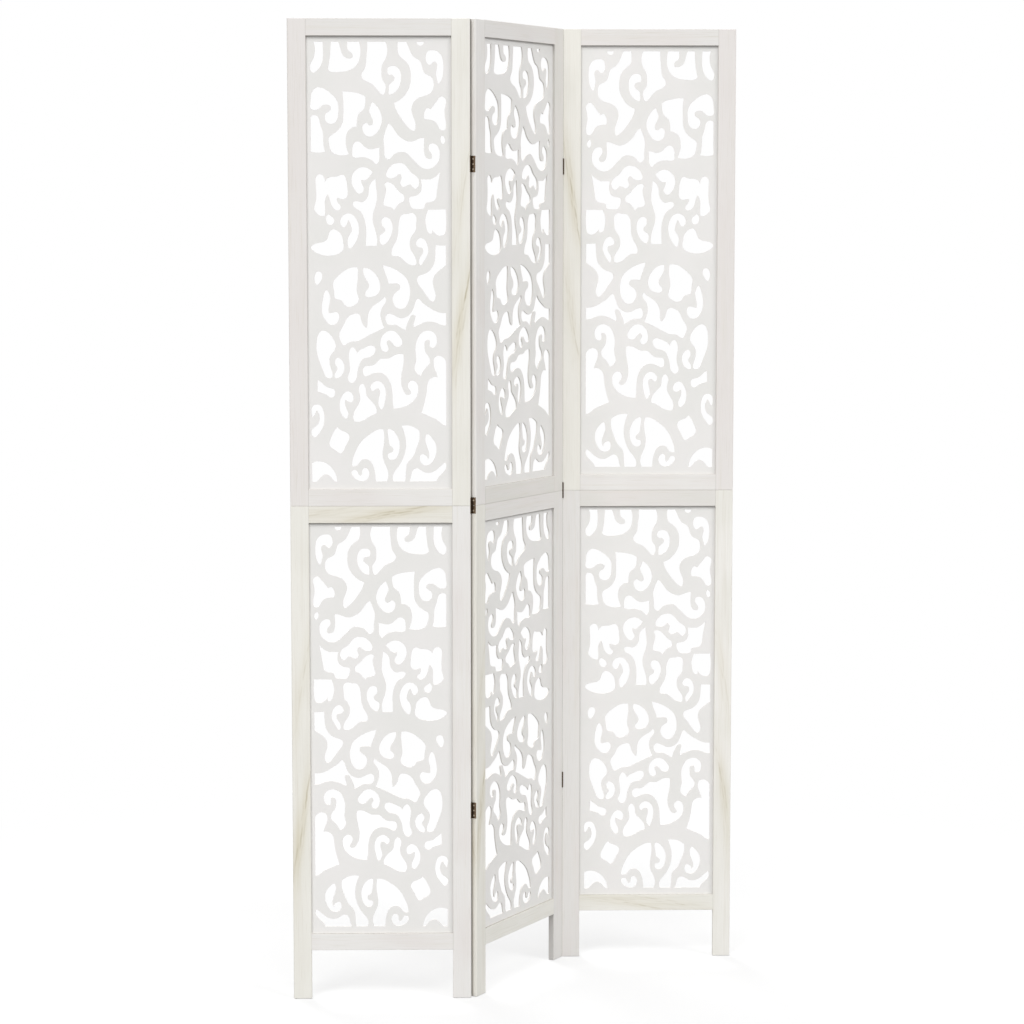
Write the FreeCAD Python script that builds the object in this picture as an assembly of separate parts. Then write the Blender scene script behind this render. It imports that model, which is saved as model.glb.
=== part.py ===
import FreeCAD, Part
import math
import os

# A three-panel folding room divider. Each panel is two wooden frames stacked on dowels, the lower
# one on legs, and every frame holds a thin board that is cut through with a vine scroll.
# Butt hinges on the panel edges join the panels: behind at the left fold, in front at the right fold.
# Millimetres, +Z up, the front towards -Y, the origin under the middle of the folded-out divider.

V = FreeCAD.Vector

# Panels
panel_width = 402.0
panel_height = 2200.0
panel_thickness = 14.0
lower_height = 1123.0
leg_height = 112.0
stile_width = 41.0
rail_height = 38.0
outer_arris = 2.5
inner_arris = 0.8
hinge_arris = 0.2
end_arris = 0.8

# Fretwork boards and the grooves that hold them
board_thickness = 3.0
board_tongue = 6.0
groove_depth = 7.0
groove_slack = 0.1

# Hole field of a board: margins to the frame opening
upper_left_margin = 8.0
upper_right_margin = 12.0
upper_bottom_margin = 16.0
upper_top_margin = 13.0
lower_left_margin = 12.0
lower_right_margin = 8.0
lower_bottom_margin = 14.5
lower_top_margin = 9.0

# Dowels in the frame corners and between the two frames of a panel
dowel_radius = 3.0
dowel_slack = 0.05
corner_dowel_length = 30.0
corner_dowel_rows = (0.34, 0.79)
section_dowel_length = 60.0

# Folds
fold_angle = 59.0
edge_gap = 0.2
pivot_offset = 0.1

# Butt hinges, let into the stile edges
hinge_height = 36.5
hinge_inset = 318.0
leaf_width = 13.2
leaf_thickness = 1.5
leaf_corner = 1.2
leaf_sink = 0.05
recess_slack = 0.1
knuckle_count = 5
knuckle_radius = 2.0
knuckle_slack = 0.15
turning_slack = 0.25
pin_radius = 1.1
pin_slack = 0.05
pin_head_radius = 1.6
pin_head_height = 0.9

# Screws through the leaves into the stiles
screw_pitch = 11.5
screw_radius = 1.0
screw_head_radius = 2.0
screw_length = 14.0
screw_slack = 0.05
screw_cross_width = 0.45
screw_cross_depth = 0.5

# Sizes that follow
opening_width = panel_width - 2 * stile_width
upper_open = (lower_height + rail_height, panel_height - rail_height)
lower_open = (leg_height + rail_height, lower_height - rail_height)
upper_margins = (upper_left_margin, upper_right_margin, upper_bottom_margin, upper_top_margin)
lower_margins = (lower_left_margin, lower_right_margin, lower_bottom_margin, lower_top_margin)
mid_y = panel_thickness / 2
hinge_levels = {
    "top": panel_height - hinge_inset,
    "middle": lower_height,
    "bottom": leg_height + hinge_inset,
}
screw_depth_y = (leaf_width + knuckle_radius) / 2
leaf_bed = edge_gap / 2 + leaf_sink + leaf_thickness

# The vine scroll, drawn for a field of 300 x 972: u runs from 8 to 308 and v from 16 to 988.
# Each of these holes is one closed smooth curve.
pattern_u = (8.0, 308.0)
pattern_v = (16.0, 988.0)
smooth_holes = [
    [(293, 898), (299, 908), (302, 925), (302, 943), (297, 960), (288, 968), (279, 970), (269, 968),
     (264, 957), (266, 943), (272, 938), (278, 942), (282, 945), (287, 943), (289, 934), (286, 920),
     (288, 908)],
    [(185, 873), (194, 877), (202, 885), (208, 900), (209, 913), (206, 926), (199, 934), (190, 936),
     (182, 933), (179, 924), (182, 917), (190, 916), (195, 909), (191, 901), (184, 895), (182, 885)],
    [(28, 889), (42, 884), (58, 872), (69, 857), (71, 838), (69, 822), (62, 811), (53, 809), (45, 813),
     (41, 823), (45, 833), (53, 839), (54, 846), (46, 851), (36, 849), (28, 842), (19, 839), (11, 842),
     (10, 858), (12, 876), (18, 885)],
    [(147, 856), (157, 846), (164, 833), (167, 819), (163, 802), (154, 788), (141, 781), (130, 785),
     (124, 797), (126, 808), (132, 811), (139, 806), (145, 807), (147, 815), (142, 828), (139, 838),
     (142, 849)],
    [(300, 783), (305, 777), (305, 769), (301, 765), (297, 770), (296, 777)],
    [(203, 723), (214, 721), (223, 712), (231, 702), (243, 693), (248, 684), (246, 672), (240, 667),
     (234, 671), (229, 676), (222, 674), (213, 671), (207, 679), (210, 692), (205, 699), (198, 694),
     (189, 690), (177, 693), (177, 703), (185, 715), (193, 721)],
    [(48, 610), (55, 605), (60, 598), (58, 590), (48, 588), (43, 596), (43, 605)],
    [(91, 612), (101, 609), (110, 598), (115, 580), (112, 560), (103, 542), (94, 535), (90, 546),
     (92, 561), (99, 573), (97, 587), (92, 597), (88, 589), (82, 582), (76, 586), (74, 597), (80, 607)],
    [(174, 604), (182, 601), (188, 590), (189, 576), (184, 560), (175, 547), (166, 543), (161, 552),
     (162, 564), (172, 572), (173, 578), (168, 584), (165, 594), (168, 602)],
    [(59, 577), (67, 574), (77, 562), (80, 549), (80, 533), (74, 526), (62, 521), (49, 519), (33, 521),
     (17, 528), (9, 538), (17, 545), (32, 548), (44, 555), (49, 569)],
    [(226, 612), (238, 610), (242, 602), (241, 588), (240, 575), (231, 562), (227, 547), (229, 533),
     (236, 521), (241, 510), (240, 499), (229, 499), (215, 508), (201, 518), (188, 520), (187, 530),
     (197, 551), (202, 574), (204, 597), (212, 610)],
    [(252, 558), (260, 554), (266, 543), (268, 529), (264, 516), (257, 505), (251, 498), (248, 507),
     (252, 518), (257, 528), (255, 536), (247, 538), (241, 544), (245, 554)],
    [(25, 484), (32, 480), (33, 472), (28, 461), (21, 455), (17, 461), (18, 479)],
    [(126, 492), (138, 489), (151, 478), (160, 461), (161, 446), (155, 434), (143, 428), (131, 429),
     (128, 437), (135, 446), (136, 457), (129, 469), (124, 482)],
    [(34, 353), (45, 349), (56, 336), (62, 319), (58, 308), (50, 297), (48, 282), (53, 264), (53, 249),
     (43, 249), (35, 261), (27, 282), (20, 307), (20, 330), (25, 347)],
    [(68, 293), (76, 287), (81, 274), (78, 259), (70, 250), (61, 248), (60, 258), (66, 268), (61, 279),
     (62, 289)],
    [(184, 353), (195, 350), (204, 340), (210, 326), (205, 319), (196, 318), (188, 325), (179, 332),
     (175, 327), (179, 316), (177, 308), (171, 306), (164, 311), (161, 324), (164, 338), (172, 348)],
    [(88, 218), (97, 214), (101, 204), (98, 195), (91, 195), (83, 199), (82, 190), (86, 178), (89, 166),
     (85, 158), (77, 163), (71, 176), (70, 191), (74, 205), (80, 214)],
    [(154, 241), (164, 237), (171, 226), (173, 211), (170, 193), (163, 178), (157, 187), (157, 201),
     (160, 214), (157, 224), (151, 224), (144, 219), (139, 226), (143, 235)],
    [(18, 189), (28, 186), (34, 174), (36, 158), (32, 138), (24, 125), (13, 116), (8, 122), (9, 134),
     (18, 141), (25, 153), (25, 165), (19, 176), (15, 168), (10, 162), (8, 170), (9, 183)],
    [(66, 137), (76, 130), (90, 121), (91, 114), (85, 101), (78, 86), (72, 80), (62, 86), (49, 95),
     (47, 102), (52, 118), (60, 133)],
    [(180, 134), (189, 130), (198, 118), (203, 103), (202, 85), (196, 70), (187, 65), (178, 69),
     (178, 79), (186, 82), (189, 90), (182, 97), (179, 107), (177, 121)],
]

# These holes have corners. Each run starts at a corner and passes through its points to the corner that
# starts the next run, and a run of one point is a straight edge.
cornered_holes = [
    [[(17, 988)],
     [(37, 988), (38, 966), (36, 945), (27, 928), (15, 921), (9, 935), (16, 951), (20, 967)]],
    [[(55, 988)],
     [(71, 988), (76, 974), (82, 958), (91, 952), (102, 954), (102, 962), (94, 969), (91, 980)],
     [(91, 988)],
     [(117, 988), (120, 962), (112, 938), (92, 925), (70, 922), (53, 924)],
     [(48, 929), (52, 948), (54, 968)]],
    [[(135, 988)],
     [(175, 988), (179, 966), (176, 953), (168, 938), (166, 921), (168, 906), (174, 896), (175, 884),
      (170, 873), (156, 885), (142, 898), (125, 908), (122, 915), (129, 929), (133, 950), (135, 970)]],
    [[(203, 988)],
     [(221, 988), (229, 969), (239, 954), (250, 947), (256, 932), (262, 919), (275, 912), (281, 897),
      (277, 880), (266, 872), (250, 867), (238, 858), (232, 842), (236, 824), (241, 806), (238, 794),
      (224, 802), (210, 820), (200, 836)],
     [(194, 855), (206, 861), (220, 875), (229, 894), (231, 911), (227, 935), (216, 949), (205, 959),
      (202, 972)]],
    [[(244, 988)],
     [(259, 988), (257, 982), (250, 980), (245, 983)]],
    [[(10, 748)],
     [(10, 820), (13, 827), (22, 827), (28, 820), (31, 806), (36, 792), (37, 774), (38, 760)],
     [(41, 748), (26, 746)]],
    [[(80, 880), (97, 879), (113, 876), (126, 871)],
     [(131, 867), (130, 852), (127, 842), (116, 831), (112, 818)],
     [(111, 803), (100, 800), (91, 792), (87, 778), (87, 763), (90, 752)],
     [(93, 742), (80, 740), (66, 742), (55, 749), (50, 764), (50, 779), (60, 787), (72, 797), (80, 812),
      (82, 835), (82, 860)]],
    [[(162, 757), (161, 740), (159, 726), (155, 721), (147, 727), (137, 733), (122, 736), (108, 735)],
     [(101, 739), (101, 754), (105, 766), (112, 770), (120, 767), (129, 758), (143, 753), (153, 755)]],
    [[(181, 810), (190, 802), (198, 789), (208, 779), (220, 772), (231, 770), (243, 774)],
     [(260, 778), (259, 760), (260, 744), (264, 735), (270, 732)],
     [(276, 733), (275, 745), (270, 753), (272, 764), (280, 766), (289, 760), (294, 746), (292, 729),
      (283, 717), (268, 710), (253, 714), (240, 726), (228, 739), (217, 747), (206, 747), (192, 741),
      (181, 731), (175, 734), (172, 752), (170, 772), (174, 793)]],
    [[(274, 840), (281, 850), (288, 859), (298, 869), (307, 863), (306, 846), (305, 828), (308, 806),
      (304, 795), (298, 795), (290, 806), (282, 815), (272, 818)],
     [(262, 819), (262, 838), (266, 843)]],
    [[(121, 686), (122, 677), (126, 667), (122, 658), (116, 656), (108, 662), (101, 674), (99, 688),
      (103, 701), (112, 710), (124, 714), (137, 710)],
     [(146, 702), (139, 694), (132, 687)]],
    [[(192, 619), (198, 627), (205, 635), (214, 640), (215, 650), (207, 658), (198, 667), (189, 677),
      (175, 680)],
     [(172, 676), (174, 655), (170, 639), (170, 632), (182, 627)]],
    [[(295, 704), (292, 688), (289, 672), (287, 655), (283, 642), (271, 637), (262, 634), (260, 626),
      (246, 622), (233, 624), (227, 636), (227, 647), (241, 651), (251, 659), (254, 672)],
     [(252, 687)],
     [(273, 687), (283, 692)]],
    [[(40, 681), (38, 692), (31, 698), (22, 694), (20, 680), (21, 655), (19, 635), (17, 620), (22, 613),
      (32, 607)],
     [(39, 607), (40, 625), (40, 640)],
     [(47, 655), (51, 643), (55, 630), (63, 621), (71, 620), (75, 627), (70, 634), (67, 646), (80, 644),
      (89, 650), (90, 664), (88, 683), (80, 697), (68, 694), (52, 692)]],
    [[(152, 688), (154, 665), (155, 645), (151, 627), (146, 610), (146, 592), (152, 572), (155, 556)],
     [(154, 541)],
     [(130, 541), (131, 565), (130, 588), (125, 606), (116, 619), (104, 627), (102, 636), (111, 639),
      (122, 637), (131, 643), (137, 657), (138, 671), (145, 683)]],
    [[(268, 620)],
     [(307, 621), (308, 600), (307, 578), (303, 566), (295, 563), (285, 567)],
     [(277, 576), (274, 568), (269, 570), (264, 583), (262, 596), (264, 609)]],
    [[(285, 542)],
     [(307, 541)],
     [(307, 498), (293, 487), (281, 474), (278, 459), (282, 442), (284, 427), (279, 418), (266, 428),
      (253, 447), (243, 467), (246, 473), (258, 478), (272, 487), (281, 502), (284, 523)]],
    [[(47, 392), (56, 393), (65, 394), (70, 386), (68, 375), (60, 367), (50, 367), (40, 376), (33, 390),
      (32, 408), (35, 427), (43, 443), (49, 433), (50, 420), (47, 405)]],
    [[(111, 493), (112, 475), (110, 455), (110, 438), (113, 418), (106, 411), (93, 406), (82, 411),
      (76, 420), (63, 424), (59, 442), (57, 458), (65, 471), (80, 484), (95, 492)]],
    [[(168, 498), (171, 485), (177, 469)],
     [(180, 457), (193, 458), (204, 455), (205, 446), (195, 437), (189, 426), (191, 413), (200, 403),
      (211, 402), (222, 413), (227, 430), (227, 448), (220, 468), (207, 481), (192, 490)]],
    [[(131, 359), (133, 368), (133, 381), (138, 398), (150, 411), (162, 419)],
     [(171, 428), (174, 418), (167, 407), (162, 393), (163, 378)],
     [(170, 359), (148, 349), (127, 338), (108, 330), (93, 328), (80, 321), (73, 331), (70, 346),
      (79, 363), (88, 381), (99, 389), (113, 390), (119, 377), (123, 366)]],
    [[(217, 354), (207, 360), (195, 366), (179, 367), (173, 378), (178, 390), (190, 388), (206, 381),
      (220, 384), (232, 396), (239, 415), (245, 424), (253, 417), (267, 406), (284, 396)],
     [(307, 392)],
     [(307, 365), (294, 367), (281, 372), (266, 373), (250, 368)],
     [(237, 361), (237, 374), (238, 387), (233, 388), (225, 378), (220, 366)]],
    [[(109, 302), (116, 310), (128, 316), (142, 320), (149, 316), (148, 304), (138, 295), (123, 291),
      (115, 279), (110, 262), (106, 244), (97, 237), (89, 244), (92, 260), (92, 285), (92, 306),
      (99, 316), (105, 312)]],
    [[(190, 180), (188, 200), (187, 220), (184, 234), (175, 251), (164, 259), (152, 260), (139, 256),
      (128, 252), (122, 263), (126, 273), (141, 275), (153, 282), (162, 290), (178, 291), (192, 298)],
     [(212, 300), (212, 278), (208, 257), (207, 236), (212, 219), (222, 210), (229, 214), (224, 224),
      (223, 235), (231, 242), (241, 237), (245, 223), (242, 208), (233, 196), (216, 185)]],
    [[(251, 253), (255, 262), (263, 272), (270, 280), (269, 294), (262, 304), (259, 318), (262, 331),
      (269, 333), (271, 326), (272, 317), (279, 316), (286, 325), (286, 338), (279, 349), (266, 353),
      (252, 347), (242, 330), (239, 308), (240, 284), (237, 269), (243, 258)]],
    [[(288, 249), (286, 258), (281, 271), (279, 283), (282, 293), (291, 297), (302, 292)],
     [(307, 283)],
     [(307, 142), (300, 144), (290, 152), (276, 160)],
     [(252, 170), (259, 193), (264, 221), (268, 241), (275, 248)]],
    [[(22, 244), (32, 236), (44, 227), (58, 222), (60, 215), (56, 206), (50, 205), (41, 211), (31, 215)],
     [(21, 218)]],
    [[(103, 151), (115, 151), (127, 156), (138, 163)],
     [(152, 169), (149, 186), (139, 198), (130, 209), (128, 224), (120, 235), (113, 226), (115, 211),
      (115, 197), (107, 181), (101, 168)]],
    [[(167, 133), (169, 112), (167, 94), (165, 79), (168, 62), (174, 48)],
     [(174, 17)],
     [(150, 17), (148, 36), (143, 54), (134, 65), (118, 65), (110, 55), (103, 51)],
     [(97, 52), (99, 68), (105, 84), (114, 101), (127, 115), (142, 126), (156, 133)]],
    [[(208, 141), (222, 142), (237, 137)],
     [(247, 130), (246, 106), (239, 87), (231, 70), (221, 59), (217, 41)],
     [(215, 17)],
     [(189, 17), (190, 36), (201, 51), (211, 69), (217, 91), (216, 116)]],
    [[(265, 65), (269, 74), (267, 87), (262, 101), (261, 114), (264, 122), (276, 113), (284, 99),
      (285, 84), (280, 67), (271, 56), (260, 53), (251, 58), (248, 68), (252, 77), (259, 76)]],
    [[(225, 17), (229, 32), (233, 42), (241, 46), (250, 42), (262, 36), (275, 37), (288, 45)],
     [(304, 59), (307, 53), (304, 42), (294, 31)],
     [(285, 17)]],
    [[(8, 58)],
     [(8, 17), (18, 17), (26, 26), (38, 33), (49, 28), (57, 19)],
     [(64, 16), (61, 31), (52, 47), (40, 57), (24, 62)]],
    [[(116, 29), (119, 35), (120, 43), (127, 47), (134, 40), (133, 26), (124, 18), (112, 19), (101, 26),
      (97, 40), (106, 42), (111, 34)]],
]


def block(x0, x1, y0, y1, z0, z1):
    return Part.makeBox(x1 - x0, y1 - y0, z1 - z0, V(x0, y0, z0))


def rod(radius, length, start, direction):
    return Part.makeCylinder(radius, length, start, direction)


def rounded_face(x0, x1, y0, y1, radii):
    """A rectangle in the XY plane with rounded corners: right front, right back, left back, left front."""
    corners = [
        (x1, y0, radii[0], -90),
        (x1, y1, radii[1], 0),
        (x0, y1, radii[2], 90),
        (x0, y0, radii[3], 180),
    ]
    arcs = []
    for x, y, radius, start in corners:
        out_x = math.copysign(radius, x - (x0 + x1) / 2)
        out_y = math.copysign(radius, y - (y0 + y1) / 2)
        circle = Part.Circle(V(x - out_x, y - out_y, 0), V(0, 0, 1), radius)
        arcs.append(Part.ArcOfCircle(circle, math.radians(start), math.radians(start + 90)).toShape())
    edges = []
    for arc, after in zip(arcs, arcs[1:] + arcs[:1]):
        edges.append(arc)
        edges.append(Part.makeLine(arc.Vertexes[-1].Point, after.Vertexes[0].Point))
    return Part.Face(Part.Wire(edges))


def ends_eased(bar, ease):
    """The bar with the edges around its flat top and bottom ends chamfered."""
    box = bar.BoundBox
    hull = block(box.XMin, box.XMax, box.YMin, box.YMax, box.ZMin, box.ZMax)
    ends = [edge for edge in hull.Edges if edge.BoundBox.ZMax - edge.BoundBox.ZMin < 1e-4]
    return bar.common(hull.makeChamfer(ease, ends))


def stile(on_left, bottom, top, opening, barrel):
    """An upright of a frame, grooved on its inner edge for the board between the ends of the opening.
    The outer edge is well rounded, but stays sharp at the face that carries a hinge barrel."""
    front = hinge_arris if barrel == "front" else outer_arris
    back = hinge_arris if barrel == "back" else outer_arris
    if on_left:
        x0, x1, radii = 0, stile_width, (inner_arris, inner_arris, back, front)
        groove_x = (stile_width - groove_depth, stile_width)
    else:
        x0, x1, radii = panel_width - stile_width, panel_width, (front, back, inner_arris, inner_arris)
        groove_x = (x0, x0 + groove_depth)
    profile = rounded_face(x0, x1, 0, panel_thickness, radii)
    profile.translate(V(0, 0, bottom))
    bar = ends_eased(profile.extrude(V(0, 0, top - bottom)), end_arris)
    half = board_thickness / 2 + groove_slack
    groove_z = (opening[0] - groove_depth, opening[1] + groove_depth)
    groove = block(*groove_x, mid_y - half, mid_y + half, *groove_z)
    return bar.cut(groove)


def rail(bottom, groove_up):
    """A cross bar between the stiles, grooved towards the opening."""
    profile = rounded_face(0, rail_height, 0, panel_thickness, [inner_arris] * 4)
    profile.rotate(V(0, 0, 0), V(0, 1, 0), -90)
    profile.translate(V(stile_width, 0, bottom))
    bar = profile.extrude(V(opening_width, 0, 0))
    half = board_thickness / 2 + groove_slack
    if groove_up:
        depth = (bottom + rail_height - groove_depth, bottom + rail_height)
    else:
        depth = (bottom, bottom + groove_depth)
    return bar.cut(block(stile_width, panel_width - stile_width, mid_y - half, mid_y + half, *depth))


def hole_wires(opening, margins, mirrored):
    """The outlines of the scroll's holes, fitted to a frame opening at the back of the board."""
    left, right, low, high = margins
    scale_u = (opening_width - left - right) / (pattern_u[1] - pattern_u[0])
    scale_v = (opening[1] - opening[0] - low - high) / (pattern_v[1] - pattern_v[0])

    def place(point):
        u = left + (point[0] - pattern_u[0]) * scale_u
        if mirrored:
            u = opening_width - u
        v = opening[0] + low + (point[1] - pattern_v[0]) * scale_v
        return V(stile_width + u, mid_y - board_thickness / 2, v)

    wires = []
    for points in smooth_holes:
        curve = Part.BSplineCurve()
        curve.interpolate([place(point) for point in points], PeriodicFlag=True)
        wires.append(Part.Wire(curve.toShape()))
    for runs in cornered_holes:
        edges = []
        for run, after in zip(runs, runs[1:] + runs[:1]):
            points = [place(point) for point in run + after[:1]]
            if len(points) == 2:
                edges.append(Part.makeLine(*points))
            else:
                curve = Part.BSplineCurve()
                curve.interpolate(points)
                edges.append(curve.toShape())
        wires.append(Part.Wire(edges))
    return wires


def fretwork(opening, margins, mirrored):
    """A board in the grooves of its frame, cut through with the scroll."""
    x0, x1 = stile_width - board_tongue, panel_width - stile_width + board_tongue
    y = mid_y - board_thickness / 2
    z0, z1 = opening[0] - board_tongue, opening[1] + board_tongue
    outline = Part.makePolygon([V(x0, y, z0), V(x1, y, z0), V(x1, y, z1), V(x0, y, z1), V(x0, y, z0)])
    face = Part.makeFace([outline] + hole_wires(opening, margins, mirrored), "Part::FaceMakerBullseye")
    return face.extrude(V(0, board_thickness, 0))


def dowel(radius, length, centre, direction):
    start = centre - direction * (length / 2)
    return rod(radius, length, start, direction)


def corner_dowels(radius, length):
    """Two dowels across every joint of a rail and a stile."""
    dowels = []
    for inner, away in ((upper_open[0], -1), (upper_open[1], 1), (lower_open[0], -1), (lower_open[1], 1)):
        for row in corner_dowel_rows:
            height = inner + away * row * rail_height
            for x in (stile_width, panel_width - stile_width):
                dowels.append(dowel(radius, length, V(x, mid_y, height), V(1, 0, 0)))
    return dowels


def section_dowels(radius, length):
    """One dowel in each stile from the lower frame up into the upper one."""
    return [
        dowel(radius, length, V(x, mid_y, lower_height), V(0, 0, 1))
        for x in (stile_width / 2, panel_width - stile_width / 2)
    ]


def screw_rows(level):
    """Heights of a leaf's screws. The hole on the seam between the frames stays empty."""
    rows = (-1, 1) if level == "middle" else (-1, 0, 1)
    return [hinge_levels[level] + row * screw_pitch for row in rows]


def knuckle_spans(first):
    """Every second knuckle along the hinge, from the bottom one or from the one above it."""
    pitch = hinge_height / knuckle_count
    return [
        (-hinge_height / 2 + index * pitch, -hinge_height / 2 + (index + 1) * pitch)
        for index in range(first, knuckle_count, 2)
    ]


def hinge_recess(on_left, reach, level):
    """The room that a leaf and the barrel take in the edge of a stile."""
    half = hinge_height / 2 + recess_slack
    bed = block(-leaf_bed, edge_gap, -leaf_width - recess_slack, knuckle_radius, -half, half)
    barrel = rod(knuckle_radius + turning_slack, 2 * half + pin_head_height, V(0, 0, -half), V(0, 0, 1))
    return set_on_edge(bed.fuse(barrel), on_left, reach, hinge_levels[level])


def leaf(on_left, reach, level):
    """A leaf about the hinge axis, let into a stile edge that runs from the axis along reach Y."""
    low = -hinge_height / 2
    x0, x1 = -leaf_bed, leaf_thickness - leaf_bed
    plate = block(x0, x1, -leaf_width, 0, low, -low)
    rim = -leaf_width + 0.001
    free_corners = [edge for edge in plate.Edges if edge.BoundBox.YMax < rim and edge.BoundBox.XLength > 0.1]
    plate = plate.makeFillet(leaf_corner, free_corners)
    own, other = (0, 1) if on_left else (1, 0)
    for start, stop in knuckle_spans(other):
        room = knuckle_radius + turning_slack
        plate = plate.cut(rod(room, stop - start, V(0, 0, start), V(0, 0, 1)))
    for start, stop in knuckle_spans(own):
        first = start + (knuckle_slack if start > low + 0.01 else 0)
        last = stop - (knuckle_slack if stop < -low - 0.01 else 0)
        plate = plate.fuse(rod(knuckle_radius, last - first, V(0, 0, first), V(0, 0, 1)))
    plate = plate.cut(rod(pin_radius + pin_slack, hinge_height, V(0, 0, low), V(0, 0, 1)))
    for row in (-1, 0, 1):
        sink = Part.makeCone(screw_radius + screw_slack, screw_head_radius, leaf_thickness,
                             V(x0, -screw_depth_y, row * screw_pitch), V(1, 0, 0))
        plate = plate.cut(sink)
    return set_on_edge(plate.removeSplitter(), on_left, reach, hinge_levels[level])


def set_on_edge(shape, on_left, reach, height):
    """A hinge piece drawn for a left-hand stile edge that runs towards -Y, turned to suit its own edge."""
    if not on_left:
        shape = shape.mirror(V(0, 0, 0), V(1, 0, 0))
    if reach > 0:
        shape = shape.mirror(V(0, 0, 0), V(0, 1, 0))
    shape.translate(V(0, 0, height))
    return shape


def hinge_pin(level):
    body = rod(pin_radius, hinge_height, V(0, 0, -hinge_height / 2), V(0, 0, 1))
    head = rod(pin_head_radius, pin_head_height, V(0, 0, hinge_height / 2), V(0, 0, 1))
    rim = [edge for edge in head.Edges if edge.BoundBox.ZMin > hinge_height / 2 + pin_head_height - 0.001]
    pin = body.fuse(head.makeFillet(pin_head_height / 2, rim)).removeSplitter()
    pin.translate(V(0, 0, hinge_levels[level]))
    return pin


def screw(height, on_left, reach):
    """A countersunk cross-head screw through a leaf, its tip in the stile."""
    face_x = leaf_thickness - leaf_bed
    into = V(-1, 0, 0)
    start = V(face_x - screw_slack, -screw_depth_y, 0)
    head_length = leaf_thickness - screw_slack
    tip = 2 * screw_radius
    head = Part.makeCone(screw_head_radius - 2 * screw_slack, screw_radius, head_length, start, into)
    shank = rod(screw_radius, screw_length - head_length - tip, start + into * head_length, into)
    point = Part.makeCone(screw_radius, 0, tip, start + into * (screw_length - tip), into)
    body = head.fuse([shank, point]).removeSplitter()
    arm, half = 0.65 * screw_head_radius, screw_cross_width / 2
    for wide, tall in ((arm, half), (half, arm)):
        slot = block(start.x - screw_cross_depth, start.x + 1, start.y - wide, start.y + wide, -tall, tall)
        body = body.cut(slot)
    return set_on_edge(body, on_left, reach, height)


def screw_hole(height, on_left, reach):
    """The pilot hole of a screw, from the stile edge to just past the screw's tip."""
    start = V(edge_gap, -screw_depth_y, 0)
    hole = rod(screw_radius + screw_slack, leaf_bed + screw_length, start, V(-1, 0, 0))
    return set_on_edge(hole, on_left, reach, height)


def moved(shape, placement):
    result = shape.copy()
    result.Placement = placement.multiply(result.Placement)
    return result


def turn_about(point, degrees):
    return FreeCAD.Placement(V(0, 0, 0), FreeCAD.Rotation(V(0, 0, 1), degrees), point)


# The divider laid flat has its panels side by side, edge_gap apart. Each pivot stands just off a face.
step = panel_width + edge_gap
pivots = {
    "left": V(panel_width + edge_gap / 2, panel_thickness + pivot_offset, 0),
    "right": V(panel_width + edge_gap / 2 + step, -pivot_offset, 0),
}
reaches = {"left": -1, "right": 1}
fold_sides = {"left": ("left", "middle"), "right": ("middle", "right")}
barrels = {
    ("left", "right_stile"): "back", ("middle", "left_stile"): "back",
    ("middle", "right_stile"): "front", ("right", "left_stile"): "front",
}
panels = ("left", "middle", "right")
shifts = {panel: V(index * step, 0, 0) for index, panel in enumerate(panels)}

turn_middle = turn_about(pivots["left"], fold_angle)
turn_right = turn_middle.multiply(turn_about(pivots["right"], -fold_angle))
far_corner = turn_right.multVec(V(panel_width + 2 * step, panel_thickness, 0))
centred = FreeCAD.Placement(V(-far_corner.x / 2, -far_corner.y / 2, 0), FreeCAD.Rotation())
turns = {"left": centred, "middle": centred.multiply(turn_middle), "right": centred.multiply(turn_right)}

mirrored = {
    ("left", "upper"): False, ("middle", "upper"): False, ("right", "upper"): True,
    ("left", "lower"): True, ("middle", "lower"): True, ("right", "lower"): False,
}
sections = {
    "upper": (lower_height, panel_height, upper_open, upper_margins),
    "lower": (0.0, lower_height, lower_open, lower_margins),
}

nodes = {}
for panel in panels:
    holes = corner_dowels(dowel_radius + dowel_slack, corner_dowel_length + 1)
    holes += section_dowels(dowel_radius + dowel_slack, section_dowel_length + 1)
    for fold, sides in fold_sides.items():
        if panel in sides:
            on_left = panel == sides[0]
            axis = pivots[fold] - shifts[panel]
            for level in hinge_levels:
                rooms = [screw_hole(height, on_left, reaches[fold]) for height in screw_rows(level)]
                rooms.append(hinge_recess(on_left, reaches[fold], level))
                for room in rooms:
                    room.translate(axis)
                holes += rooms
    pieces = {}
    for section, (bottom, top, opening, margins) in sections.items():
        for side, on_left in (("left_stile", True), ("right_stile", False)):
            barrel = barrels.get((panel, side))
            pieces[f"{section}_{side}"] = stile(on_left, bottom, top, opening, barrel)
        pieces[f"{section}_top_rail"] = rail(opening[1], False)
        pieces[f"{section}_bottom_rail"] = rail(opening[0] - rail_height, True)
    drilled = {}
    for name, piece in pieces.items():
        through = [hole for hole in holes if hole.BoundBox.intersect(piece.BoundBox)]
        drilled[name] = piece.cut(through)
    for section, (bottom, top, opening, margins) in sections.items():
        drilled[f"{section}_fretwork"] = fretwork(opening, margins, mirrored[panel, section])
    drilled["corner_dowels"] = Part.makeCompound(corner_dowels(dowel_radius, corner_dowel_length))
    drilled["section_dowels"] = Part.makeCompound(section_dowels(dowel_radius, section_dowel_length))
    for name, piece in drilled.items():
        piece.translate(shifts[panel])
        nodes[f"{panel}_{name}"] = moved(piece, turns[panel])

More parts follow.
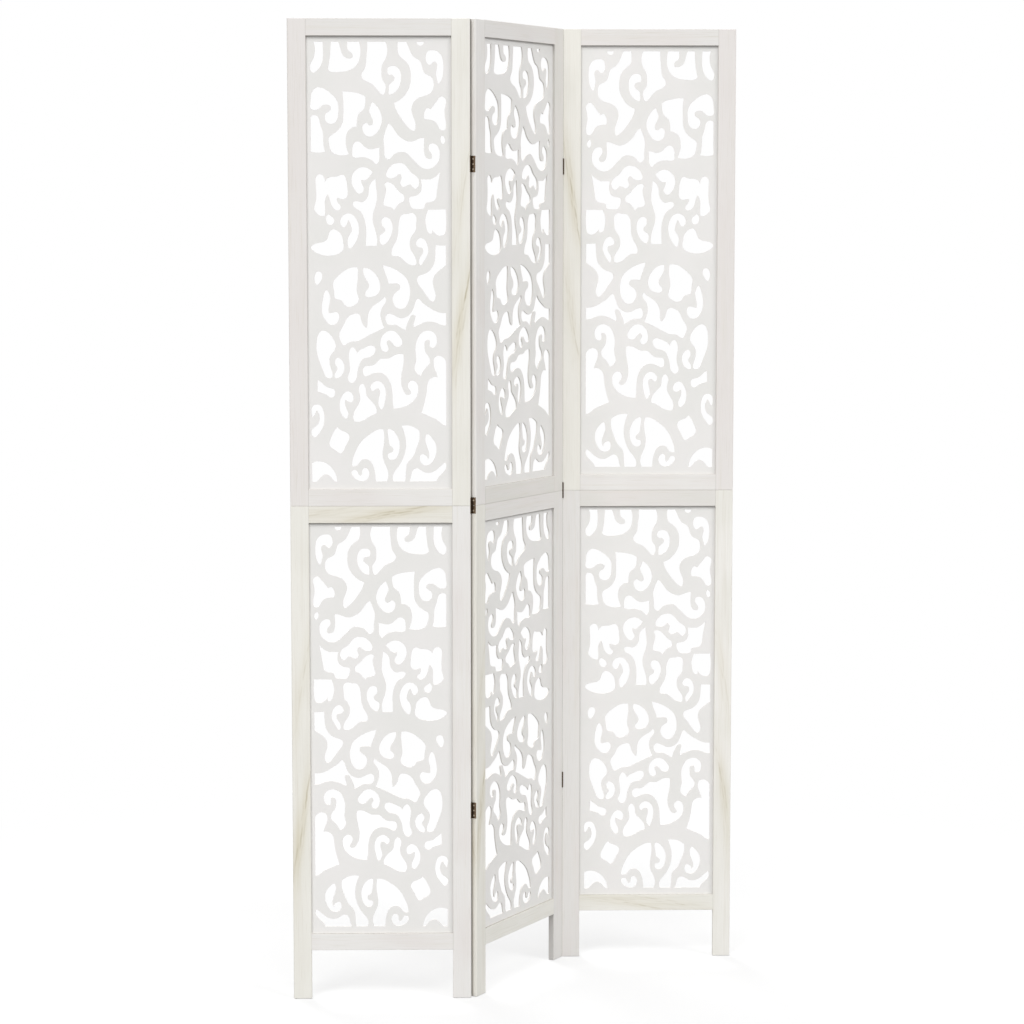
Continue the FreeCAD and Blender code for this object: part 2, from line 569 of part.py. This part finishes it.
for fold, sides in fold_sides.items():
    for side, panel in zip(("left", "right"), sides):
        on_left = side == "left"
        screws = []
        for level in hinge_levels:
            piece = leaf(on_left, reaches[fold], level)
            piece.translate(pivots[fold])
            nodes[f"{fold}_fold_{level}_{side}_leaf"] = moved(piece, turns[panel])
            screws += [screw(height, on_left, reaches[fold]) for height in screw_rows(level)]
        group = Part.makeCompound(screws)
        group.translate(pivots[fold])
        nodes[f"{fold}_fold_{side}_screws"] = moved(group, turns[panel])
    for level in hinge_levels:
        pin = hinge_pin(level)
        pin.translate(pivots[fold])
        nodes[f"{fold}_fold_{level}_pin"] = moved(pin, turns["middle"])

os.makedirs("parts", exist_ok=True)
for name, shape in nodes.items():
    shape.exportStep(f"parts/{name}.step")
print(len(nodes), "pieces")
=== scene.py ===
# %% [markdown]
# # A folding room divider in whitewashed wood
# Three panels stand in a zigzag. Each panel is two pegged frames, one on top of the other, and every
# frame holds a thin white board that is cut through with a vine scroll. The solids come in with their
# true sizes, so this lesson is about finishes, light and the eye behind the camera.

# %% Load the divider
import math
from collections import namedtuple

import bpy
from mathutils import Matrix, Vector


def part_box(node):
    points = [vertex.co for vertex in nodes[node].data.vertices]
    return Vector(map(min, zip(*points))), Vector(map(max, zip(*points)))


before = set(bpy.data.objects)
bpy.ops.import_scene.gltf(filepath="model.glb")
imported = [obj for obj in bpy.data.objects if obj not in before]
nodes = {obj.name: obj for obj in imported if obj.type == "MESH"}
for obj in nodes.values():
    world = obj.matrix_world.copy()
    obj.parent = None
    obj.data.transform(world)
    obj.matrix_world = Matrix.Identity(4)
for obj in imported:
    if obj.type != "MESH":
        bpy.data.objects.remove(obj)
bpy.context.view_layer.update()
bpy.ops.object.select_all(action="DESELECT")


def rounded(numbers, digits=4):
    return [round(number, digits) for number in numbers]


# %% [markdown]
# ## The camera
# The picture was taken from a little above eye height, about six and a half metres away, with a long
# lens. A long lens keeps the back panel nearly as tall as the front one. The camera could be level with
# a shifted lens, but a shift stays on when the divider is viewed from other sides, so it is kept small
# and the camera looks slightly down instead.

# %% Camera
def stand_camera(place, tilt, pan, lens, shift):
    """A camera that looks down by the tilt and to the right by the pan, both in degrees."""
    turn = (math.radians(90 - tilt), 0, -math.radians(pan))
    bpy.ops.object.camera_add(location=place, rotation=turn)
    camera = bpy.context.object
    camera.data.lens = lens
    camera.data.shift_y = shift
    bpy.context.scene.camera = camera
    camera.select_set(False)
    return camera


camera_place = (-0.1415, -6.3966, 1.7722)
camera = stand_camera(camera_place, tilt=5.459, pan=1.14592, lens=98.35, shift=-0.03)
print("camera:", rounded(camera.location, 3), "lens", round(camera.data.lens, 2))

# %% [markdown]
# ## Writing shaders as sums
# A finish is a small network of nodes. Wiring each node by hand hides the idea, so a socket is wrapped
# in a class whose operators add Math nodes: `1 - mask` makes one node and returns its output. Every
# other node comes from one method, which takes the settings first and then the values or links.

# %% A socket that can be added and multiplied
class Value:
    def __init__(self, finish, socket):
        self.finish = finish
        self.socket = socket

    def output(self, name):
        """Another output of the same node."""
        return Value(self.finish, self.socket.node.outputs[name])

    def __add__(self, other):
        return self.finish.maths("ADD", self, other)

    def __sub__(self, other):
        return self.finish.maths("SUBTRACT", self, other)

    def __rsub__(self, other):
        return self.finish.maths("SUBTRACT", other, self)

    def __mul__(self, other):
        return self.finish.maths("MULTIPLY", self, other)

    __radd__, __rmul__ = __add__, __mul__

    def size(self):
        """The value without its sign."""
        return self.finish.maths("ABSOLUTE", self)

    def between(self, low, high):
        """0 below low, 1 above high, eased in between."""
        inputs = {"Value": self, "From Min": low, "From Max": high}
        return self.finish.node("ShaderNodeMapRange", {"interpolation_type": "SMOOTHSTEP"}, inputs)

    def bell(self, width):
        """1 at zero, falling away on both sides over the width."""
        share = self * (1 / width)
        return self.finish.maths("EXPONENT", share * share * -1.0)


print("a value knows:", [name.strip("_") for name, what in vars(Value).items() if callable(what)])

# %% A finish and its nodes
class Finish:
    def __init__(self, owner):
        owner.use_nodes = True
        self.owner = owner
        self.tree = owner.node_tree
        self.tree.nodes.clear()

    def node(self, kind, settings=None, inputs=None, output=0):
        made = self.tree.nodes.new(kind)
        for name, setting in (settings or {}).items():
            setattr(made, name, setting)
        for name, value in (inputs or {}).items():
            if isinstance(value, Value):
                self.tree.links.new(value.socket, made.inputs[name])
            else:
                made.inputs[name].default_value = value
        return Value(self, made.outputs[output]) if len(made.outputs) else None

    def maths(self, operation, *terms):
        return self.node("ShaderNodeMath", {"operation": operation}, dict(enumerate(terms)))

    def mix(self, amount, first, second):
        """A colour between two others, which are sockets 6 and 7 of the node and come out at 2."""
        inputs = {"Factor": amount, 6: first, 7: second}
        return self.node("ShaderNodeMix", {"data_type": "RGBA", "clamp_factor": True}, inputs, 2)

    def noise(self, where, scale, detail, rough=0.5):
        inputs = {"Vector": where, "Scale": scale, "Detail": detail, "Roughness": rough}
        return self.node("ShaderNodeTexNoise", None, inputs)


print("a finish knows:", [name.strip("_") for name, what in vars(Finish).items() if callable(what)])

# %% [markdown]
# ## Colours
# Shaders reckon with light, and a screen shows it through a curve. So a colour is written as it is seen,
# in six signs, and turned into light values where a node needs it.

# %% A colour as it is seen
def tone(code):
    """The light values of a colour such as E9E6DD, by the usual curve of screens."""
    parts = [int(code[i:i + 2], 16) / 255 for i in (0, 2, 4)]
    return tuple(v / 12.92 if v <= 0.04045 else ((v + 0.055) / 1.055) ** 2.4 for v in parts) + (1.0,)


print("tone E9E6DD is", rounded(tone("E9E6DD"), 3))

# %% [markdown]
# ## Room
# The divider stands in a white studio, and the room gives an even light from all sides. A picture of a
# real room would give livelier light, but also its colours. What is seen of the room, straight or in
# a shiny piece, is plain white with a strength of 1. As light it is weaker, so that the wash doesn't
# burn out.

# %% Room light
def seen_rays(finish):
    """1 for rays that show a thing, straight, in a gloss or through glass, and 0 for mere light."""
    path = finish.node("ShaderNodeLightPath")
    gloss = path.output("Is Glossy Ray") + path.output("Is Transmission Ray")
    return path.output("Is Camera Ray") + gloss


white = (1, 1, 1, 1)
room_strength = 0.635
room = Finish(bpy.data.worlds.new("white_studio"))
bpy.context.scene.world = room.owner
lit = room.node("ShaderNodeBackground", None, {"Color": white, "Strength": room_strength})
plain = room.node("ShaderNodeBackground", None, {"Color": white, "Strength": 1.0})
whole = room.node("ShaderNodeMixShader", None, {0: seen_rays(room), 1: lit, 2: plain})
room.node("ShaderNodeOutputWorld", None, {"Surface": whole})
bpy.context.scene.view_settings.view_transform = "Standard"
print("room light:", room_strength, "view:", bpy.context.scene.view_settings.view_transform)

# %% [markdown]
# ## Lamps
# Three broad lamps stand in front, one to the left, one well to the right and one high up. They cast a
# dark line under every top rail, where the board is set back, which a painted shadow on the boards
# deepens, and leave the middle panel a little darker than its neighbours. A fourth lamp behind keeps the
# backs of the panels from going grey. Area lamps would light the near panel more than the far one, so
# these are sun lamps with a wide angle for soft shadows.

# %% Four lamps
lamp_spread = 24


def broad_lamp(name, strength, height, side):
    """A far lamp, by its height above the horizon and its turn from straight in front, in degrees."""
    turn = (math.radians(90 - height), 0, math.radians(side))
    bpy.ops.object.light_add(type="SUN", rotation=turn)
    lamp = bpy.context.object
    lamp.name = name
    lamp.data.energy = strength
    lamp.data.angle = math.radians(lamp_spread)
    lamp.select_set(False)
    return lamp


lamps = [
    broad_lamp("left_lamp", strength=1.085, height=40, side=-30),
    broad_lamp("right_lamp", strength=1.055, height=40, side=55),
    broad_lamp("top_lamp", strength=0.55, height=58, side=0),
    broad_lamp("back_lamp", strength=1.40, height=40, side=-155),
]
print("lamps:", {lamp.name: round(lamp.data.energy, 3) for lamp in lamps})

# %% [markdown]
# ## Floor
# The floor is a wide white disc that takes the shadow. Near the divider half of what is seen is matt and
# holds the shadow, and half is plain white. Farther out it is all plain white, so no edge shows against
# the room. A wall behind could hide that edge too, but it would show in the views from other sides. The
# floor throws back less light than it shows, which keeps the undersides of the rails dark.

# %% White floor
floor_radius, floor_drop = 30, 0.0005
near_white, white_from, white_to = 0.5, 0.9, 2.2
thrown, shown = (0.25, 0.25, 0.25, 1), (0.75, 0.75, 0.75, 1)


def spot(finish):
    """A point of the object, where it lies in the room at rest."""
    return finish.node("ShaderNodeTexCoord").output("Object")


floor_place = (0, 0, -floor_drop)
bpy.ops.mesh.primitive_circle_add(
    vertices=96, radius=floor_radius, fill_type="NGON", location=floor_place
)
floor = bpy.context.object
floor.name = "studio_floor"
bpy.ops.object.transform_apply(location=True, rotation=True, scale=True)
pale = Finish(bpy.data.materials.new("white_floor"))
seen = seen_rays(pale)
matt = pale.node("ShaderNodeBsdfDiffuse", None, {"Color": pale.mix(seen, thrown, shown)})
glare = pale.node("ShaderNodeEmission", None, {"Color": white, "Strength": 1.0})
reach = pale.node("ShaderNodeVectorMath", {"operation": "LENGTH"}, {0: spot(pale)}, "Value")
far = (reach.between(white_from, white_to) * (1 - near_white) + near_white) * seen
ground = pale.node("ShaderNodeMixShader", None, {0: far, 1: matt, 2: glare})
pale.node("ShaderNodeOutputMaterial", None, {"Surface": ground})
floor.data.materials.append(pale.owner)
floor.select_set(False)
print("floor radius:", floor_radius, "m, all white from", white_to, "m out")

# %% [markdown]
# ## Places on a panel
# Every solid keeps the room's coordinates, so a pattern that follows a bar needs the bar's own. A Mapping
# node turns the middle panel back to straight and moves the middle of the piece to zero. A UV map could
# do this on the faces, but not through the wood, where the rings run. What comes out are the distances
# along, across and through the piece, in metres, for a stile, a rail or a board alike.

# %% The distances inside one piece
fold_turn = math.radians(59)
seam_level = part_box("left_upper_left_stile")[0].z


def bar_order(piece, x, y, z):
    """Along, across and through: a rail lies on its side, and all else stands."""
    return (x, z, y) if piece.endswith("rail") else (z, x, y)


def axes(finish, point):
    local = finish.node("ShaderNodeSeparateXYZ", None, {0: point})
    return local.output("X"), local.output("Y"), local.output("Z")


def piece_place(finish, piece):
    low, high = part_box(piece)
    middle = (low + high) / 2
    turn = -fold_turn if piece.startswith("middle") else 0.0
    cos, sin = math.cos(turn), math.sin(turn)
    back = (middle.y * sin - middle.x * cos, -middle.x * sin - middle.y * cos, -middle.z)
    inputs = {"Vector": spot(finish), "Location": back, "Rotation": (0, 0, turn)}
    return bar_order(piece, *axes(finish, finish.node("ShaderNodeMapping", None, inputs)))


def half_size(piece):
    """Half of a piece's length, width and depth, read from its twin in the unturned left panel."""
    low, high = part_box(piece.replace("middle", "left"))
    return bar_order(piece, *((high - low) / 2))


print("seam at", round(seam_level, 3), "m, half of a stile:", rounded(half_size("left_upper_left_stile")))

# %% [markdown]
# ## Growth rings
# The frames are pale wood under a thin white wash, which leaves most of a bar an even grey-white with
# faint streaks. Where a growth ring comes out at the face, a brown line shows through, with a tan haze on
# one side of it. Ring patterns are often made with a wave texture, but that gives many lines of one
# strength. Here each strong ring is one sheet inside the wood, so it is written as a distance from a
# leaning, slightly bent plane, and it runs on round the edges to the back of the bar.

# %% The sheet of one ring
Ring = namedtuple("Ring", "middle level lean heavy line haze")
ring_bend, ring_slope, ring_wander = 0.2, 0.6, 0.012
face_depth = half_size("left_upper_left_stile")[2]


def ring_off(place, wander, ring):
    """How far a point is from the ring, on the side of its haze, and how far along the ring it is."""
    along, across, through = place
    side = math.copysign(1, ring.lean) * ring.heavy
    run = along - ring.middle
    sheet = run * ring.lean + run * run * (ring_bend * side) + ring.level
    off = across + (through + face_depth) * ring_slope + wander * ring_wander - sheet
    return off * -side, run * ring.heavy


print("a ring runs", round(2000 * face_depth * ring_slope, 1), "mm sideways from face to back")

# %% [markdown]
# The wash covers parts of a ring's line, which leaves dashes, and the rings next to it show between them.
# Line and haze are strongest near the ring's own middle and fade towards its ends.

# %% The marks of one ring
line_width, haze_width, next_ring = 0.0017, 0.013, 0.005
line_reach, line_lead = 0.10, 0.04
haze_reach, haze_lead = 0.15, 0.01
faint = 0.6


def ring_marks(place, ring, wander, dashes):
    """How strong a ring's lines are at a point, and how strong its haze is."""
    off, run = ring_off(place, wander, ring)
    line = off.bell(line_width) * (run - line_lead).bell(line_reach) * dashes
    beside = (off - next_ring).bell(line_width) + (off + next_ring).bell(line_width) * faint
    beside = beside * (run + line_lead).bell(line_reach) * (1 - dashes)
    haze = (off - next_ring / 2).bell(haze_width) * (run + haze_lead).bell(haze_reach)
    return (line + beside * faint) * ring.line, haze * ring.haze


print("rings", next_ring * 1000, "mm apart, haze", haze_width * 1000, "mm wide")

# %% [markdown]
# ## Painted shade, seam lines and wear
# On the inner faces of a frame, most of all on the ledges of the bottom rails, and down in the folds,
# shade is painted into the colour as a grey line, and along the seam between two frames the colour is
# darker.
# Such lines could come from an ambient occlusion node, but a plain distance costs nothing and gives the
# same line in every view. On the long edges of a bar the wash is rubbed instead.

# %% Painted shade, seam lines and worn edges of one bar
# Painted shade: grey lines in the recesses of a frame, on the ledges and in the folds; the seam is drawn
# darker.
inside_painted_shade, ledge_painted_shade, seam_darkening, fold_painted_shade = 0.25, 0.60, 0.25, 0.78
inside_rim, ledge_rim, seam_width = 0.0009, 0.0003, 0.0010
fold_rim, fold_skin, fold_depth = 0.00025, 0.0001, 0.006
worn_from, worn_to, worn_stray = 0.0002, 0.0016, 0.003
# In a fold the painted shade lies towards the hinges: 1 for the back of a panel, -1 for its front.
hinge_side = {"left_right": 1, "middle_left": 1, "middle_right": -1, "right_left": -1}


def painted_shade_and_seam(finish, piece, place):
    """How much painted shade lies on a point of a bar, with the darker seam line."""
    _, across, through = place
    panel, _, side, _ = piece.split("_")
    half = half_size(piece)[1]
    inner = across if side in ("left", "bottom") else across * -1.0
    amount, rim = (ledge_painted_shade, ledge_rim) if side == "bottom" else (inside_painted_shade, inside_rim)
    marks = inner.between(half - rim, half - rim / 3) * amount
    level = axes(finish, spot(finish))[2]
    marks = marks + (level - seam_level).bell(seam_width) * seam_darkening
    hinges = hinge_side.get(panel + "_" + side)
    if hinges:
        outside = (inner * -1.0).between(half - fold_rim, half - fold_skin)
        marks = marks + outside * (through * hinges).between(0.0, fold_depth) * fold_painted_shade
    return marks


def worn_edges(piece, place, brush):
    """1 on the long edges of a bar and 0 a little way in, with a border that strays."""
    _, across, through = place
    _, half, half_depth = half_size(piece)
    off = across.finish.maths("MAXIMUM", half - across.size(), half_depth - through.size())
    return 1 - (off + (brush - 0.5) * worn_stray).between(worn_from, worn_to)


print("stiles in a fold:", sorted(hinge_side), "dust there:", fold_painted_shade)

# %% [markdown]
# ## Grain
# What runs along a bar is noise that is drawn out, with few spots to the metre along it and many across.
# The brush leaves wide streaks, fibres and pores are much finer, and clouds are patches of thinner wash.
# Wander and shiver bend the rings, and dashes break their lines. One wood texture for all bars would be
# quicker, but then neighbours match, so every bar shifts the noise by a seed of its own.

# %% Noise along the grain
Grain = namedtuple("Grain", "along across shift detail rough")
grains = {
    "wander": Grain(5.0, 12.0, 0, 2.0, 0.5),
    "shiver": Grain(30.0, 30.0, 11, 1.0, 0.5),
    "fibre": Grain(9.0, 600.0, 3, 3.0, 0.6),
    "brush": Grain(2.5, 110.0, 5, 3.0, 0.55),
    "cloud": Grain(6.0, 14.0, 7, 1.0, 0.5),
    "dashes": Grain(24.0, 60.0, 9, 2.0, 0.5),
    "pores": Grain(14.0, 900.0, 13, 2.0, 0.5),
}
through_shift, along_shift = 0.7, 1.3


def drawn_out(finish, place, grain, seed):
    along, across, through = place
    shift = seed + grain.shift
    inputs = {
        "X": across * grain.across + shift,
        "Y": through * grain.across + shift * through_shift,
        "Z": along * grain.along + shift * along_shift,
    }
    where = finish.node("ShaderNodeCombineXYZ", None, inputs)
    return finish.noise(where, 1.0, grain.detail, grain.rough)


print("spots to the metre:", {name: (grain.along, grain.across) for name, grain in grains.items()})

# %% [markdown]
# ## Tones of the wood
# The wash was mixed more than once. Four mixes are cool and have clouds of a faint pink, and three are
# warm and have clouds of a faint green. Under them lie the brown tones of the wood, and on top a grey for
# painted shade and the seam line. The bars could share one white, but then the frames would look moulded.

# %% Washes and what shows through them
blush, moss = "E6E1DE", "E8E6DE"
# The last grey is for painted shade and the darker seam line.
oat, straw, bark, shade_and_seam_grey = "DED9CE", "D6CEB6", "B5AB8F", "8B857D"
washes = {
    "pearl": ("EBE9E6", blush),
    "grey": ("E7E5E2", blush),
    "stone": ("E2E0DB", blush),
    "rose": ("E8E4E1", blush),
    "ivory": ("F1EFEA", moss),
    "cream": ("EEECE5", moss),
    "honey": ("ECE9E0", moss),
}
print("washes:", {name: wash for name, (wash, _) in washes.items()})

# %% [markdown]
# ## One bar
# The finish is laid on in the order in which it came about: clouds in the wash, streaks of the brush, haze
# and lines of the rings, open pores, worn edges; painted shade and the darker seam come last. A long chain
# of mixes hides that order, so the
# layers stand in a list. Fibres, lines and pores also give the surface a fine relief.

# %% The rings of one bar
shiver_share = 0.25


def all_rings(place, rings, noise):
    """The lines and the haze of a bar's strong rings, or zeros where it has none."""
    wander = (noise["wander"] - 0.5) + (noise["shiver"] - 0.5) * shiver_share
    dashes = noise["dashes"].between(0.38, 0.62)
    marks = [ring_marks(place, ring, wander, dashes) for ring in rings]
    return sum(line for line, _ in marks), sum(haze for _, haze in marks)


print("shiver of a ring:", shiver_share, "of its wander")

# %% The finish of one bar
cloud_share, pore_share, worn_share = 0.7, 0.14, 0.2
soft_gloss = 0.35


def skin(finish, inputs):
    """The shader of a finish, wired to the end of its material."""
    surface = finish.node("ShaderNodeBsdfPrincipled", None, inputs)
    finish.node("ShaderNodeOutputMaterial", None, {"Surface": surface})
    return finish.owner


def washed_wood(piece, wash, streaks, rings, seed):
    finish = Finish(bpy.data.materials.new("washed_" + piece))
    place = piece_place(finish, piece)
    noise = {name: drawn_out(finish, place, grain, seed) for name, grain in grains.items()}
    fibre, brush = noise["fibre"], noise["brush"]
    pores = noise["pores"].between(0.56, 0.70)
    line, haze = all_rings(place, rings, noise)
    first, cloud = washes[wash]
    layers = [
        (noise["cloud"].between(0.35, 0.75) * cloud_share, cloud),
        (brush.between(0.45, 0.85) * streaks, oat),
        (haze * (brush * 0.9 + 0.1), straw),
        (line * (fibre * 0.8 + 0.5), bark),
        (pores * pore_share, bark),
        (worn_edges(piece, place, brush) * worn_share, oat),
        # Painted shade in recesses, on ledges and in folds, and the darker seam line.
        (painted_shade_and_seam(finish, piece, place), shade_and_seam_grey),
    ]
    colour = tone(first)
    for amount, layer in layers:
        colour = finish.mix(amount, colour, tone(layer))
    relief = fibre * 0.5 + line * 0.3 - pores * 0.6
    normal = finish.node("ShaderNodeBump", None, {"Strength": 0.18, "Distance": 0.0003, "Height": relief})
    rough = fibre * 0.16 + 0.46
    inputs = {"Base Color": colour, "Roughness": rough, "Normal": normal, "Specular IOR Level": soft_gloss}
    return skin(finish, inputs)


print("shares of clouds, pores and worn edges:", cloud_share, pore_share, worn_share)

# %% [markdown]
# ## Twenty-four bars
# Most bars are plain, in one of the seven washes and with more or less of the brush. A ring is given by
# its place along and across the bar, its lean, the end that is darker, and the strength of its line and of
# its haze. Boards of one tree were sawn in a row, so the same rings come back in several bars, turned or
# mirrored.

# %% Every bar's wash and brush
plain_bars = {
    "left_upper_left_stile": ("rose", 0.30),
    "left_upper_right_stile": ("cream", 0.45),
    "left_upper_top_rail": ("grey", 0.40),
    "left_upper_bottom_rail": ("pearl", 0.15),
    "left_lower_left_stile": ("cream", 0.45),
    "left_lower_right_stile": ("pearl", 0.30),
    "left_lower_top_rail": ("honey", 0.50),
    "left_lower_bottom_rail": ("pearl", 0.45),
    "middle_upper_left_stile": ("pearl", 0.45),
    "middle_upper_right_stile": ("stone", 0.45),
    "middle_upper_top_rail": ("grey", 0.45),
    "middle_upper_bottom_rail": ("stone", 0.55),
    "middle_lower_left_stile": ("cream", 0.50),
    "middle_lower_right_stile": ("grey", 0.45),
    "middle_lower_top_rail": ("grey", 0.45),
    "middle_lower_bottom_rail": ("ivory", 0.40),
    "right_upper_left_stile": ("cream", 0.45),
    "right_upper_right_stile": ("rose", 0.35),
    "right_upper_top_rail": ("grey", 0.40),
    "right_upper_bottom_rail": ("pearl", 0.30),
    "right_lower_left_stile": ("grey", 0.45),
    "right_lower_right_stile": ("ivory", 0.40),
    "right_lower_top_rail": ("stone", 0.35),
    "right_lower_bottom_rail": ("cream", 0.40),
}
print("bars:", len(plain_bars), "all there:", all(piece in nodes for piece in plain_bars))

# %% The strong rings, and dressing the bars
stile_lean, rail_lean = 0.14, 0.15
figured_bars = {
    "left_upper_right_stile": [
        Ring(-0.135, 0, stile_lean, 1, 0.9, 0.9),
        Ring(0.150, 0.004, stile_lean, 1, 0.3, 0.4),
    ],
    "left_lower_left_stile": [
        Ring(-0.168, 0, stile_lean, 1, 0.78, 1.0),
        Ring(0.160, 0.002, stile_lean, 1, 0.3, 0.4),
    ],
    "left_lower_top_rail": [
        Ring(0.02, 0, rail_lean, -1, 1.0, 0.9),
        Ring(-0.13, 0.005, rail_lean, -1, 0.3, 0.3),
    ],
    "middle_lower_left_stile": [
        Ring(-0.142, 0, stile_lean, 1, 0.8, 0.8),
        Ring(0.150, 0.002, stile_lean, 1, 0.3, 0.3),
    ],
    "right_upper_left_stile": [
        Ring(0.162, 0, -stile_lean, -1, 0.85, 0.8),
        Ring(-0.13, 0.001, -stile_lean, -1, 0.35, 0.4),
    ],
    "right_lower_right_stile": [
        Ring(-0.145, 0, -stile_lean, 1, 0.55, 0.6),
        Ring(0.128, -0.002, -stile_lean, 1, 0.35, 0.4),
    ],
    "right_lower_bottom_rail": [
        Ring(-0.05, -0.002, -rail_lean, 1, 0.5, 0.45),
        Ring(0.06, -0.002, -rail_lean, 1, 0.4, 0.3),
    ],
}
first_seed, seed_step = 1.1, 2.37


def dress(piece, material):
    slots = nodes[piece].data.materials
    slots.clear()
    slots.append(material)


for count, (piece, (wash, streaks)) in enumerate(plain_bars.items()):
    seed = seed_step * count + first_seed
    dress(piece, washed_wood(piece, wash, streaks, figured_bars.get(piece, []), seed))
print("bars with strong rings:", len(figured_bars))

# %% [markdown]
# ## Painted boards
# The fretwork is a thin fibre board, sprayed white. Spray leaves a very fine, even skin, so the paint
# has almost no colour of its own and only the gloss and a slight orange peel tell it from paper. On the
# cut edges the coat is thinner and the fibre shows. Against the frame a narrow painted shadow lies on the
# board, most of all under the top rail. A plain white would do from afar, but looks like paper from close
# by.

# %% Sprayed paint
board_tongue = 0.006
board_white, board_shade, fibre_board = "EDEBE9", "E9E8E5", "C9B8A0"
# Painted shadow on the board under the top rail and beside the stiles.
under_rail_shadow, beside_stile_shadow, cut_fibre = 0.50, 0.10, 0.15
shadow_from, shadow_to = 0.0035, 0.001
cut_from, cut_to = 0.0003, 0.0001


def painted_shadow_by_frame(piece, place):
    """How much painted shadow lies on a point of a board, in a line beside the frame that holds it."""
    along, across, _ = place
    at_top, at_side, _ = (half - board_tongue for half in half_size(piece))
    under_rail = along.between(at_top - shadow_from, at_top - shadow_to)
    at_stile = across.size().between(at_side - shadow_from, at_side - shadow_to)
    return under_rail * under_rail_shadow + at_stile * beside_stile_shadow


def sprayed_paint(piece):
    paint = Finish(bpy.data.materials.new("sprayed_" + piece))
    place = piece_place(paint, piece)
    half_depth = half_size(piece)[2]
    cut = 1 - place[2].size().between(half_depth - cut_from, half_depth - cut_to)
    cloud = paint.noise(spot(paint), 6.0, 3.0)
    peel = paint.noise(spot(paint), 900.0, 2.0)
    colour = paint.mix(cloud.between(0.3, 0.7), tone(board_white), tone(board_shade))
    colour = paint.mix(cut * cut_fibre, colour, tone(fibre_board))
    # Painted shadow beside the frame.
    colour = paint.mix(painted_shadow_by_frame(piece, place), colour, tone(shade_and_seam_grey))
    normal = paint.node("ShaderNodeBump", None, {"Strength": 0.08, "Distance": 0.0002, "Height": peel})
    rough = peel * 0.1 + 0.42
    inputs = {"Base Color": colour, "Roughness": rough, "Normal": normal, "Specular IOR Level": soft_gloss}
    return skin(paint, inputs)


boards = [name for name in nodes if name.endswith("fretwork")]
for name in boards:
    dress(name, sprayed_paint(name))
print("boards:", len(boards), "triangles each:", [len(nodes[name].data.polygons) for name in boards])

# %% [markdown]
# ## Hinges and screws
# The small butt hinges are browned metal. Handling has rubbed the high spots, where a warmer metal shows,
# and in the crook beside the pin, deep in the fold, shade is painted into the brown. That could be painted
# on by hand, but the distance from the pin gives it on every leaf at once. The screws are brighter and
# hardly browned.

# %% Browned metal
# The brown of the painted shade in the fold beside the pin.
fold_shade_brown = "56483B"
crook_from, crook_to = 0.005, 0.009


def shade_near_pin(finish, pin):
    """1 in the crook beside a pin, where the painted shade lies, and 0 out on the leaf."""
    low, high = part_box(pin)
    inputs = {"Vector": spot(finish), "Location": -(low + high) / 2}
    x, y, _ = axes(finish, finish.node("ShaderNodeMapping", None, inputs))
    return 1 - (x * x + y * y).between(crook_from ** 2, crook_to ** 2)


def browned_metal(name, dark, rubbed, share, metallic=0.85, pin=None):
    finish = Finish(bpy.data.materials.new(name))
    rub = finish.noise(spot(finish), 320.0, 3.0).between(0.62 - share, 0.85 - share)
    colour = finish.mix(rub, tone(dark), tone(rubbed))
    if pin:
        # Painted shade: a deeper brown in the crook beside the pin.
        colour = finish.mix(shade_near_pin(finish, pin), colour, tone(fold_shade_brown))
    return skin(finish, {"Base Color": colour, "Roughness": 0.5 - rub * 0.14, "Metallic": metallic})


def leaf_metal(fold):
    return browned_metal("browned_leaf_" + fold, "84725F", "A5917C", 0.08, pin=fold + "_fold_middle_pin")


print("the brown is darkest within", crook_from * 1000, "mm of a pin")

# %% Dressing the hinges
def dress_all(kind, material, fold=""):
    same = [name for name in nodes if name.startswith(fold) and name.endswith(kind)]
    for name in same:
        dress(name, material)
    print(kind, len(same), material.name)


for fold in ("left", "right"):
    dress_all("leaf", leaf_metal(fold), fold)
dress_all("pin", browned_metal("browned_pin", "33271C", "5E4A36", 0.0))
dress_all("screws", browned_metal("rubbed_screw", "CDC0AC", "E8DDCC", 0.15, metallic=0.4))

# %% [markdown]
# ## Dowels
# The dowels are bare beech. They sit inside the frames and are seen only when the model is taken apart,
# so they get the flecks of beech and no grain along each peg.

# %% Bare beech
beech_light, beech_dark = "D9B98F", "C79F72"
beech = Finish(bpy.data.materials.new("bare_beech"))
fleck = beech.noise(spot(beech), 260.0, 3.0)
colour = beech.mix(fleck.between(0.35, 0.7), tone(beech_light), tone(beech_dark))
dress_all("dowels", skin(beech, {"Base Color": colour, "Roughness": fleck * 0.2 + 0.5}))

# %% [markdown]
# ## Sizes
# A finish changes no size.
